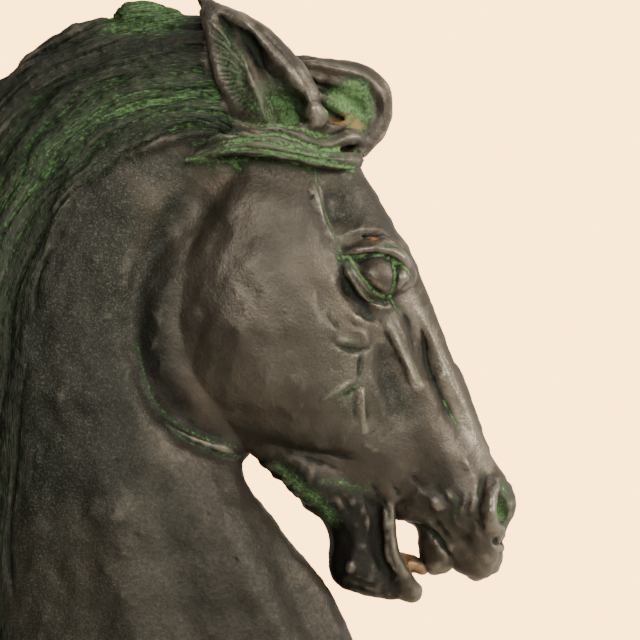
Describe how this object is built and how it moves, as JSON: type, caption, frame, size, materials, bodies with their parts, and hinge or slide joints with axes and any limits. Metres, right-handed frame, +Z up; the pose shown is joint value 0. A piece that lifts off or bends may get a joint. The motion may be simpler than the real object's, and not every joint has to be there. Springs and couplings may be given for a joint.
{
  "type": "horse head sculpture",
  "caption": "Patinated bronze bust of a horse's head and arched neck with open mouth and carved mane, cut flat below to stand on a surface",
  "frame": {"origin": "a point on the flat underside, near the middle of its outline and in the head's mid-plane", "axes": "the horse faces +X, its left side is at +Y and its right side at -Y, +Z is up"},
  "size_m": [0.3885, 0.1363, 0.4432],
  "materials": {
    "patinated_bronze": "dark brown patinated bronze with green verdigris in the recesses"
  },
  "bodies": {
    "root": {"horse_head": "patinated_bronze"}
  },
  "joints": []
}
